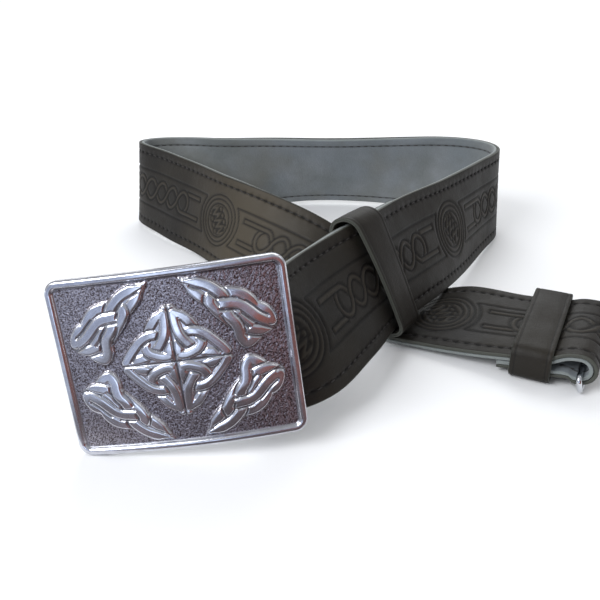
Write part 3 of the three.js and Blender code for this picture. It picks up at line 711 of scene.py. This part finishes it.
def roundLoop(low, high, radii, step=0.7):
    # Rectangle with a radius for each corner, from the high corner round, as points and normals
    corners = [(high[0], high[1], 0), (low[0], high[1], 90), (low[0], low[1], 180), (high[0], low[1], 270)]
    points, normals = [], []
    for (x, y, start), radius in zip(corners, radii):
        cx = x - radius if x == high[0] else x + radius
        cy = y - radius if y == high[1] else y + radius
        for turn in np.radians(np.linspace(start, start + 90, 13)):
            points.append((cx + radius * math.cos(turn), cy + radius * math.sin(turn)))
            normals.append((math.cos(turn), math.sin(turn)))
    full, fullNormals = [], []
    for i, (p, n) in enumerate(zip(points, normals)):
        q, m = points[(i + 1) % len(points)], normals[(i + 1) % len(points)]
        count = max(1, int(math.dist(p, q) / (step * 2)))
        for k in range(count):
            full.append([p[a] + (q[a] - p[a]) * k / count for a in (0, 1)])
            fullNormals.append([n[a] + (m[a] - n[a]) * k / count for a in (0, 1)])
    return np.array(full), unit(np.array(fullNormals))


def keeperRings(place, low, high, radii, width, bulge):
    loop, normals = roundLoop(low, high, radii)
    thick = keepers["thickness"]
    half = width / 2
    section = [(-half + 0.3, 0.0), (-half, 0.3), (-half, 0.9), (-half + 0.18, 1.1), (-half, 1.3),
               (-half, thick - 0.5), (-half + 0.2, thick - 0.15), (-half + 0.6, thick),
               (-half + 1.6, thick), (-half + 2.1, thick - 0.14), (-half + 2.6, thick),
               (-half * 0.4, thick + 0.05), (0, thick + 0.08)]
    section += [(-a, b) for a, b in section[-2::-1]]
    section += [(half * 0.4, 0), (-half * 0.4, 0)]
    section = np.array(section)
    share = (loop[:, 0] - low[0]) / (high[0] - low[0])
    bow = bulge * np.sin(np.pi * np.clip(share, 0, 1)) * (normals[:, 1] > 0.5)
    rings = []
    for (y, z), (ny, nz), out in zip(loop, normals, bow):
        depth = section[:, 1] + out
        rings.append(place(section[:, 0], y + ny * depth, z + nz * depth))
    inset = half - abs(section[:, 0])
    # cut-edge mark: partly the edge's own lighter tone, partly a painted highlight
    onEdge = (inset < 0.25) & (section[:, 1] < thick - 0.1)
    onLine = (abs(inset - 0.18) < 0.03) | (abs(inset - 2.1) < 0.05)
    edge = np.repeat(onEdge[None, :], len(loop), 0)
    line = np.repeat(onLine[None, :], len(loop), 0)
    # the crease lines are darkened: partly creased leather, partly painted shade in the creases
    marks = {"edge": edge * (1 - line * 0.6), "press": line * 0.6, "hole": np.zeros(edge.shape)}
    return np.array(rings), marks


def makeFrontKeeper():
    half, thick = strap["width"] / 2, strap["thickness"]
    back = strap["closedApart"] + (2 * strap["barFold"] - strap["closedApart"]) * 0.03
    low = (-half - keepers["foot"], -back - thick / 2 - keepers["back"])
    high = (half + keepers["head"], thick / 2 + keepers["stand"])
    slant = math.tan(math.radians(keepers["skew"]))

    def place(forward, across, outward):
        fromBar = keepers["fromBar"] + forward - across * slant
        middle, unused, sideways, out = runFrame(fromBar / strap["run"])
        return middle + sideways * across[:, None] + out * outward[:, None]

    rings, marks = keeperRings(place, low, high, (6.2, 3.2, 3.2, 5.6), keepers["width"], 0.6)
    return sweptMesh("frontKeeper", rings, joined=True, marks=marks, material=keeperLeather)


def makeEndKeeper():
    half, thick = strap["width"] / 2, strap["thickness"]
    middle, ahead, across, unused = (part[0] for part in runFrame(1 - keepers["fromCrest"] / strap["run"]))
    further = runFrame(1 - (keepers["fromCrest"] - keepers["endWidth"] / 2) / strap["run"])[0][0]
    forward = unit(np.array([ahead[0], ahead[1], 0]))
    across = unit(across - forward * across.dot(forward))
    outward = np.cross(forward, across)
    rise = (further - middle).dot(outward)
    floor = -(middle[2] - half * abs(across[2])) / outward[2] + keepers["thickness"]
    low = (-half - keepers["endPlay"], floor)
    high = (half + keepers["endPlay"], rise + thick / 2 + keepers["endPlay"])

    def place(along, sideways, out):
        return middle + forward * along[:, None] + across * sideways[:, None] + outward * out[:, None]

    rings, marks = keeperRings(place, low, high, (3.4, 3.4, 2.4, 2.4), keepers["endWidth"], 0.2)
    return sweptMesh("endKeeper", rings, joined=True, marks=marks, material=keeperLeather)


for piece, node in ((makeFrontKeeper(), "front_keeper"), (makeEndKeeper(), "end_keeper")):
    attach(piece, "root")
    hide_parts(node)
print("keepers closed")

# The wire ring in the end fold
ring = {"wire": 2.5, "sidePlay": 2, "tilt": 12, "corner": 2.6, "sides": 20}


def makeRing():
    middle, forward, across, outward = (part[0] for part in runFrame(1))
    tilt = math.radians(ring["tilt"])
    away = forward * math.sin(tilt) - outward * math.cos(tilt)
    square = np.cross(away, across)
    centre = middle - outward * strap["ringFold"]
    wire = ring["wire"] / 2
    half = strap["width"] / 2 + ring["sidePlay"] + wire
    gap = strap["thickness"] / 2 + strap["gap"] + wire
    low, high = (-half, strap["ringFold"] - gap), (half, strap["ringFold"] + gap)
    loop, normals = roundLoop(low, high, [ring["corner"]] * 4)
    turn = np.linspace(0, 2 * math.pi, ring["sides"], endpoint=False)
    rings = []
    for (y, z), (ny, nz) in zip(loop, normals):
        side = wire * np.cos(turn)
        rings.append(centre + square * (wire * np.sin(turn))[:, None] + across * (y + ny * side)[:, None]
                     + away * (z + nz * side)[:, None])
    return sweptMesh("endRing", np.array(rings), joined=True, material=wireMetal)


ringPiece = makeRing()
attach(ringPiece, "root")
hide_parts("end_ring")
print("ring bent")

# The cast buckle
buckle = {"width": 93.6, "height": 72.6, "corner": 5.5, "crown": 4, "plate": 1.8, "swing": 15.5,
          "rimWidth": 3.6, "rimHeight": 1.5, "barInset": 13, "drop": 1.5, "bar": 4, "barPlay": 0.4,
          "post": 3, "postWidth": 4.4, "hookWidth": 10, "hookReach": 9, "hook": 2.6, "hookInset": 17,
          "columns": 300, "rows": 238, "backRows": 9, "cornerColumns": 22}
knotwork = {"centreBand": 3.8, "cornerBand": 4.3, "high": 1.5, "low": 0.95, "cut": 0.7, "cutWidth": 0.26,
            "split": 0.3, "grain": 0.035, "dome": 0.85, "centreReach": 21, "cornerFrom": (7, 30),
            "cornerTo": (38, 6), "cornerHalf": 9.5, "cornerArch": 3.6, "stretch": (1.04, 1.015),
            "bed": 0.62, "tip": (6.2, 31.4), "tipReach": 6.5, "behind": 0.3}
# Outlines of one quarter of each motif, inside which the ground between the bands is raised
centreOutline = [(0, 0), (0, 20.8), (2.6, 19.6), (5.4, 17.9), (8, 15.2), (9.8, 12.4),
                 (12.8, 10.4), (16, 7.3),
                 (18.6, 3.8), (20.6, 0)]
cornerOutline = [(5.8, 31.6), (12.5, 31), (17, 29.2), (20.5, 26.3), (24.8, 25.4), (29, 23.4), (32.2, 20.2),
                 (33.8, 17.8), (36.8, 15.6), (38.9, 12.4), (38.9, 9.4), (36, 6.8), (32.5, 5.6), (31, 4.2),
                 (27, 1.4), (23.4, 4.6), (22.7, 8.6), (20.4, 12), (17.2, 16), (14.4, 19.4),
                 (11, 22.6), (8.4, 26)]
# Bands of one quarter of each motif, mirrored to the others: x and y on the plate, and 1 over or -1 under
centreBands = [
    [(0.9, 20.2, 0.2), (1.9, 18.9, 0.2), (4.8, 17.3, 0.3), (7.2, 14.6, 0.1), (8.7, 11.8, -0.8),
     (9.9, 9, -0.2),
     (10.4, 6.6, 0.5), (9.2, 4.4, 0.9), (6.6, 3, 0.6), (4, 2.3, 0.3), (2.2, 2.4, 0.2)],
    [(2.2, 2.4, 0.2), (1.8, 4.8, 0.2), (2.2, 7.4, -0.2), (3.9, 10, -0.9), (6.6, 11.1, 0.3),
     (9.2, 10.8, 0.8),
     (12.3, 9.1, 0.6), (15.2, 6.2, 0.4), (17.6, 3.3, 0.3), (18.9, 1.3, 0.2)],
    [(18.7, 1.5, 0.2), (15, 1.9, 0.2), (11.6, 2.5, -0.2), (9, 3.7, -0.8), (6.6, 5.3, 0.1), (4.6, 7.6, 0.5),
     (3, 10.4, 0.9), (2.2, 13.5, 0.5), (1.9, 16.5, 0.3), (1.9, 18.9, 0.2)],
]
cornerBands = [
    [(7.4, 30.3, 0.2), (12.5, 29.1, 0.3), (16, 27.5, 0.4), (19, 25, 0.8), (20.9, 22.4, 0.3),
     (21, 19.6, -0.8),
     (21.2, 16.8, 0.2), (22.2, 14.2, 0.6), (23.9, 11.8, 0.7), (24.6, 9, 0.6), (24.8, 6.2, 0.3),
     (26.7, 3.4, 0),
     (29.2, 4.6, 0), (31.3, 6.6, -0.5)],
    [(7.8, 29.9, 0.2), (9.4, 27.8, 0.2), (11, 25.5, 0.2), (13, 23.2, 0), (15.4, 21.4, -0.9),
     (18.2, 20.2, 0.2),
     (21, 19.7, 0.9), (24.3, 19.3, 0.6), (27, 18, 0.5), (29.3, 15.8, 0.7), (31.6, 13.4, 0.9),
     (34.3, 11.4, 0.5),
     (37, 10.1, 0.2)],
    [(33, 13.6, -0.8), (31.9, 16.4, -0.5), (30.4, 19.4, 0.3), (27.8, 22.2, 0.5), (24.6, 23.5, 0.4),
     (21.5, 23.9, -0.5), (18.6, 24.2, -0.3), (16.7, 23.4, 0.5), (15.9, 21.5, 0.9), (16.8, 18.8, 0.6),
     (18.9, 15.9, 0.2), (21.2, 13.4, -0.5), (23.6, 11.2, -0.6), (26.6, 9.6, 0.3), (29.5, 8.3, 0.4),
     (32.5, 7.7, 0.2), (35.5, 8.8, 0), (37.2, 10, 0)],
    [(20.8, 16.6, -0.4), (23, 15.9, 0.3), (25.5, 14.8, 0.5), (28, 13, 0.5), (30.3, 10.6, 0.4),
     (32, 8.8, -0.3)],
    [(32.6, 16.8, -0.3), (34.9, 15.4, 0.4), (36.3, 13.2, 0.4), (36.9, 10.6, 0.3)],
]
bendRadius = buckle["width"] ** 2 / 8 / buckle["crown"] + buckle["crown"] / 2


def bent(x, y, z):
    turn = np.asarray(x) / bendRadius
    radius = bendRadius + z
    return np.stack([radius * np.sin(turn), y + 0 * turn, radius * np.cos(turn) - bendRadius], -1)


def smoothBand(points, step=0.25):
    # A smooth curve through the points, level carried along
    points = np.array(points, float)
    reach = np.concatenate([[0], np.cumsum(np.hypot(*np.diff(points[:, :2], axis=0).T))])
    at = np.arange(0, reach[-1], step)
    slopes = np.gradient(points, reach, axis=0)
    k = np.clip(np.searchsorted(reach, at, side="right") - 1, 0, len(points) - 2)
    span = (reach[k + 1] - reach[k])[:, None]
    t = ((at - reach[k])[:, None]) / span
    return (points[k] * (1 - t) ** 2 * (1 + 2 * t) + points[k + 1] * t * t * (3 - 2 * t)
            + slopes[k] * span * t * (1 - t) ** 2 - slopes[k + 1] * span * t * t * (1 - t))


def inside(x, y, outline):
    # Whether places lie inside a closed outline
    within = np.zeros(x.shape, bool)
    for (x0, y0), (x1, y1) in zip(outline, outline[1:] + outline[:1]):
        if y0 != y1:
            crossing = x0 + (y - y0) * (x1 - x0) / (y1 - y0)
            within ^= ((y0 > y) != (y1 > y)) & (x < crossing)
    return within


def bandHeight(x, y, bands, width, tip=None):
    # Rounded flat bands, cut away beside another band that crosses over them
    k = knotwork
    height, topLevel = np.zeros(x.shape), np.full(x.shape, -9.0)
    found = []
    if tip:
        width = width * np.clip(np.hypot(x - tip[0], y - tip[1]) / k["tipReach"], 0.15, 1)
    for points in bands:
        distance, level = nearest(x, y, smoothBand(points))
        rise = k["low"] + (k["high"] - k["low"]) * (level + 1) / 2
        share = np.clip(distance / (width / 2), 0, 1)
        shape = rise * np.sqrt(1 - share ** 5)
        better = (share < 1) & (level > topLevel)
        height = np.where(better, shape, height)
        topLevel = np.where(better, level, topLevel)
        found.append((distance, level))
    cut = np.zeros(x.shape)
    for distance, level in found:
        beside = bell(distance - width / 2 - 0.2, k["cutWidth"])
        cut = np.maximum(cut, np.where((level > topLevel + 0.04) & (topLevel > -9), beside, 0))
    return np.maximum(height - cut * k["cut"], 0), cut


def buckleRelief(x, y):
    # Height over the plate's face, and how far a place lies in the dark recesses
    k, b = knotwork, buckle
    plateX, plateY = abs(x), abs(y)
    ax, ay = plateX / k["stretch"][0], plateY / k["stretch"][1]
    height, cut = np.zeros(x.shape), np.zeros(x.shape)
    motifs = ((centreBands, centreOutline, k["centreBand"], None, (ax < 22) & (ay < 23)),
              (cornerBands, cornerOutline, k["cornerBand"], k["tip"], (ax > 4) & (ax < 41) & (ay < 33)))
    for bands, outline, width, tip, near in motifs:
        raised, cuts = bandHeight(ax[near], ay[near], bands, width, tip)
        raised = np.maximum(raised, inside(ax[near], ay[near], outline) * k["bed"])
        height[near] = np.maximum(height[near], raised)
        cut[near] = np.maximum(cut[near], cuts)
    raised = np.clip(height / 0.6, 0, 1)
    split = np.maximum(bell(ax, k["split"]), bell(ay, k["split"])) * (height > 0.1)
    # each motif swells as a whole, with a ridge along its middle
    swell = np.clip(1 - (ax + ay) / k["centreReach"], 0, 1) ** 0.7 * (ax + ay < 30)
    x0, y0 = k["cornerFrom"]
    x1, y1 = k["cornerTo"]
    length = math.hypot(x1 - x0, y1 - y0)
    share = ((ax - x0) * (x1 - x0) + (ay - y0) * (y1 - y0)) / length ** 2
    ridge = k["cornerArch"] * np.sin(math.pi * np.clip(share, 0, 1))
    away = ((ay - y0) * (x1 - x0) - (ax - x0) * (y1 - y0)) / length + ridge
    cornerSwell = np.clip(1 - abs(away) / k["cornerHalf"], 0, 1) ** 0.8
    cornerSwell = cornerSwell * np.sin(math.pi * np.clip(share, 0.02, 0.98)) ** 0.5
    swell = np.where(ax + ay > 24, cornerSwell, swell)
    height = height * (1 - 0.6 * split) + raised * swell * k["dome"]
    cut = np.maximum(cut, split)
    inX = np.maximum(0, plateX - (b["width"] / 2 - b["corner"]))
    inY = np.maximum(0, plateY - (b["height"] / 2 - b["corner"]))
    straight = np.minimum(b["width"] / 2 - plateX, b["height"] / 2 - plateY)
    inset = np.where((inX > 0) & (inY > 0), b["corner"] - np.hypot(inX, inY), straight)
    share = np.clip(inset / b["rimWidth"], 0, 1)
    rim = np.interp(share, [0, 0.06, 0.14, 0.27, 0.45, 0.62, 0.78, 0.9, 1],
                    np.array([0.3, 0.66, 0.88, 1, 1.02, 1, 0.72, 0.25, 0]) * b["rimHeight"])
    ground = (height < 0.1) & (share >= 1)
    noise = rng.standard_normal(x.shape)
    for shift in ((1, 0), (0, 1), (1, 1)):
        noise = noise + np.roll(noise, shift, (0, 1))
    height = np.where(share < 1, rim, height)
    recess = np.clip(cut * (height > 0.15) + (share > 0.88) * (share < 1) * 0.6, 0, 1)
    return height + ground * np.clip(noise / 2, -1.6, 1.6) * k["grain"], recess, ground.astype(float)


def plateRings():
    b = buckle
    half = b["width"] / 2
    angles = np.radians(np.linspace(0, 90, b["cornerColumns"]))
    corner = half - b["corner"] * (1 - np.cos(angles))
    straight = b["columns"] - 2 * b["cornerColumns"] + 2
    middle = np.linspace(-half + b["corner"], half - b["corner"], straight)[1:-1]
    stations = np.concatenate([-corner, middle, corner[::-1]])
    past = np.maximum(0, abs(stations) - (half - b["corner"]))
    top = b["height"] / 2 - b["corner"] + np.sqrt(np.maximum(0, b["corner"] ** 2 - past ** 2))
    share = np.linspace(-1, 1, b["rows"])
    x = np.repeat(stations[:, None], b["rows"], 1)
    y = share[None, :] * top[:, None]
    z, recess, ground = buckleRelief(x, y)
    backShare = np.linspace(1, -1, b["backRows"])
    backX, backY = np.repeat(stations[:, None], b["backRows"], 1), backShare[None, :] * top[:, None]
    backZ = np.full(backX.shape, -b["plate"])
    rings = bent(*(np.concatenate(pair, 1) for pair in ((x, backX), (y, backY), (z, backZ))))
    behind = np.full(backX.shape, knotwork["behind"])
    marks = {"recess": np.concatenate([recess, behind], 1)}
    marks["ground"] = np.concatenate([ground, behind * 0], 1)
    return rings, marks


def bucklePose():
    # Rows: right, up, out and origin
    middle, forward, across, outward = (part[0] for part in runFrame(0))
    barX = buckle["width"] / 2 - buckle["barInset"]
    depth = buckle["plate"] + strap["barFold"] + strap["thickness"] / 2 + buckle["barPlay"]
    swing = -(math.radians(buckle["swing"]) + barX / bendRadius)
    turn = np.array(Matrix.Rotation(swing, 3, Vector(across)))
    right, out = turn @ forward, turn @ outward
    barAt = bent(barX, 0, -depth)
    origin = middle - outward * strap["barFold"] + across * buckle["drop"]
    origin = origin - right * barAt[0] - out * barAt[2]
    return right, across, out, origin, barX, depth


def addFitting(mesh, size, x, y, depth, cylinder=False):
    b = bmesh.new()
    if cylinder:
        radius = size[0] / 2
        bmesh.ops.create_cone(b, cap_ends=True, segments=28, radius1=radius, radius2=radius, depth=size[1])
        bmesh.ops.rotate(b, verts=b.verts, matrix=Matrix.Rotation(math.pi / 2, 3, "X"))
    else:
        bmesh.ops.create_cube(b, size=1)
        bmesh.ops.scale(b, vec=size, verts=b.verts)
    bmesh.ops.bevel(b, geom=b.edges[:], offset=0.35, segments=2, profile=0.5, affect="EDGES")
    bmesh.ops.rotate(b, verts=b.verts, matrix=Matrix.Rotation(x / bendRadius, 3, "Y"))
    bmesh.ops.translate(b, verts=b.verts, vec=Vector(bent(x, y, -depth)))
    b.verts.ensure_lookup_table()
    start = len(mesh["points"])
    mesh["points"] += [tuple(v.co) for v in b.verts]
    mesh["faces"] += [[start + v.index for v in f.verts] for f in b.faces]
    b.free()


def makeBuckle():
    b = buckle
    right, up, out, origin, barX, depth = bucklePose()

    def world(points):
        points = np.asarray(points)
        return origin + points[..., :1] * right + points[..., 1:2] * up + points[..., 2:] * out

    rings, marks = plateRings()
    piece = sweptMesh("buckle", world(rings), marks=marks, material=pewter)
    postMiddle = strap["width"] / 2 + b["drop"] + strap["gap"] + b["post"] / 2
    postDepth = depth + b["bar"] / 2 - b["plate"] / 2
    mesh = {"points": [], "faces": []}
    back, reach, hook = b["plate"] / 2, b["hookReach"], b["hook"]
    addFitting(mesh, (b["bar"], 2 * postMiddle), barX, 0, depth, cylinder=True)
    for side in (-1, 1):
        postSize = (b["postWidth"], b["post"], postDepth)
        addFitting(mesh, postSize, barX, side * postMiddle, back + postDepth / 2)
    hookX = -b["width"] / 2 + b["hookInset"]
    addFitting(mesh, (hook, b["hookWidth"], reach), hookX, 0, back + reach / 2)
    lipX = hookX - reach / 2 + hook / 2
    addFitting(mesh, (reach, b["hookWidth"], hook), lipX, 0, back + reach - hook / 2)
    data = bpy.data.meshes.new("buckleFittings")
    data.from_pydata(((world(mesh["points"]) + placeOnFloor) * millimetre).tolist(), [], mesh["faces"])
    data.polygons.foreach_set("use_smooth", [True] * len(data.polygons))
    layer = data.attributes.new("recess", "FLOAT", "POINT")
    layer.data.foreach_set("value", [knotwork["behind"]] * len(data.vertices))
    data.materials.append(pewter)
    fittings = bpy.data.objects.new("buckleFittings", data)
    bpy.context.collection.objects.link(fittings)
    return piece, fittings


bucklePiece, fittingPiece = makeBuckle()
for piece in (bucklePiece, fittingPiece):
    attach(piece, "root")
    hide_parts("buckle")
print("buckle cast")

# Pale floor and soft studio light
studio = {"floor": 8.0, "world": 0.52, "cardNear": -0.16, "cardFar": -0.95, "cardHalf": 1.1,
          "cardHeight": 0.55, "cardLift": 0.001, "glowLeft": 0.24, "glowHigh": 0.17, "glowTight": 26.0,
          "dome": 3.0}
cardLook = {"coolDark": (0.3, 0.34, 0.45, 1), "coolLight": (0.62, 0.7, 0.92, 1),
            "greyDark": (0.12, 0.115, 0.125, 1), "greyLight": (0.3, 0.29, 0.33, 1),
            "redDark": (0.09, 0.042, 0.04, 1), "redLight": (0.38, 0.14, 0.11, 1),
            "glow": (1.7, 1.95, 2.4, 1)}
# Name, place, size, power and colour of each lamp
lamps = [("keyLight", (-0.8, -0.6, 0.85), 0.7, 13, (0.95, 0.97, 1.0)),
         ("fillLight", (0.8, 0.1, 1.0), 0.8, 2.0, (1.0, 0.96, 0.9)),
         ("backLight", (0.1, 0.95, 0.9), 1.0, 8, (0.95, 0.98, 1.0))]


def stageObject(name, points, faces, material):
    mesh = bpy.data.meshes.new(name)
    mesh.from_pydata(points, [], faces)
    mesh.materials.append(material)
    item = bpy.data.objects.new(name, mesh)
    bpy.context.collection.objects.link(item)
    return item


def makeFloor():
    half = studio["floor"] / 2
    material, bench, dress = newMaterial("paleFloor", Roughness=0.9, Emission_Strength=1.0)
    # the far floor shines, so that the ground stays white up to the horizon
    away = bench.add("ShaderNodeVectorMath", {"operation": "LENGTH"}, {0: bench.place()}, output="Value")
    dress(Base_Color=bench.blend(bench.noise(3, 2), linear(246, 246, 246), linear(242, 242, 243)),
          Emission_Color=bench.ramp(away * 0.5, (0.14, 0), (0.7, 1)))
    corners = [(-half, -half, 0), (half, -half, 0), (half, half, 0), (-half, half, 0)]
    stageObject("floor", corners, [(0, 1, 2, 3)], material)


def makeCard():
    # A dim card that only gloss sees, cool on the left and warm on the right, as in the photograph
    look = cardLook
    black = (0, 0, 0, 1)
    material, bench, dress = newMaterial("dimCard", Roughness=1.0, Base_Color=black, Emission_Strength=1.0)
    sideways = bench.add("ShaderNodeSeparateXYZ", {}, {"Vector": bench.place()})
    deep, height = (Wire(bench, sideways.socket.node.outputs[axis]) for axis in ("Y", "Z"))
    turnWarm = bench.ramp(sideways * 2.2 + deep - height * 2.0 + 1.74, (0.22, 0), (0.72, 1))
    patches = bench.ramp(bench.noise(6, 2), (0.42, 0), (0.6, 1))
    redness = bench.ramp(sideways * 4 + 0.6, (0, 0), (1, 1))
    dark = bench.blend(redness, look["greyDark"], look["redDark"])
    light = bench.blend(redness, look["greyLight"], look["redLight"])
    warm = bench.blend(patches, dark, light)
    cool = bench.blend(patches, look["coolDark"], look["coolLight"])
    across, up = sideways + studio["glowLeft"], height - studio["glowHigh"]
    glow = bench.ramp((across * across + up * up) * studio["glowTight"], (0, 1), (1, 0))
    base = bench.blend(turnWarm, cool, warm)
    dress(Emission_Color=bench.blend(glow, base, look["glow"]))
    near, far, wide = studio["cardNear"], studio["cardFar"], studio["cardHalf"]
    low, high = studio["cardLift"], studio["cardHeight"]
    points = [(-wide, near, low), (wide, near, low), (wide, far, low), (-wide, far, low),
              (wide, far, high), (-wide, far, high)]
    card = stageObject("dimCard", points, [(0, 1, 2, 3), (3, 2, 4, 5)], material)
    card.visible_camera = card.visible_diffuse = card.visible_shadow = False


def makeDome():
    # A white dome that only the camera sees, so that low views have a white background too
    material, bench, dress = newMaterial("whiteDome", Base_Color=(0, 0, 0, 1), Emission_Strength=1.0)
    dress(Emission_Color=bench.blend(bench.noise(1, 1), (1, 1, 1, 1), (0.99, 0.99, 1, 1)))
    b = bmesh.new()
    bmesh.ops.create_icosphere(b, subdivisions=4, radius=studio["dome"])
    points = [tuple(v.co) for v in b.verts]
    faces = [[v.index for v in f.verts] for f in b.faces]
    b.free()
    dome = stageObject("whiteDome", points, faces, material)
    dome.visible_diffuse = dome.visible_glossy = dome.visible_shadow = False


def makeLights():
    for name, place, size, power, colour in lamps:
        data = bpy.data.lights.new(name, "AREA")
        data.size = size
        data.energy = power
        data.color = colour
        light = bpy.data.objects.new(name, data)
        light.location = place
        light.rotation_euler = (Vector((0, 0, 0.03)) - Vector(place)).to_track_quat("-Z", "Y").to_euler()
        bpy.context.collection.objects.link(light)
    world = bpy.data.worlds.new("softRoom")
    world.use_nodes = True
    background = world.node_tree.nodes["Background"]
    background.inputs["Color"].default_value = (0.94, 0.96, 1.0, 1)
    background.inputs["Strength"].default_value = studio["world"]
    bpy.context.scene.world = world
    bpy.context.scene.view_settings.view_transform = "Standard"


makeFloor()
makeCard()
makeDome()
makeLights()
print("studio lit")
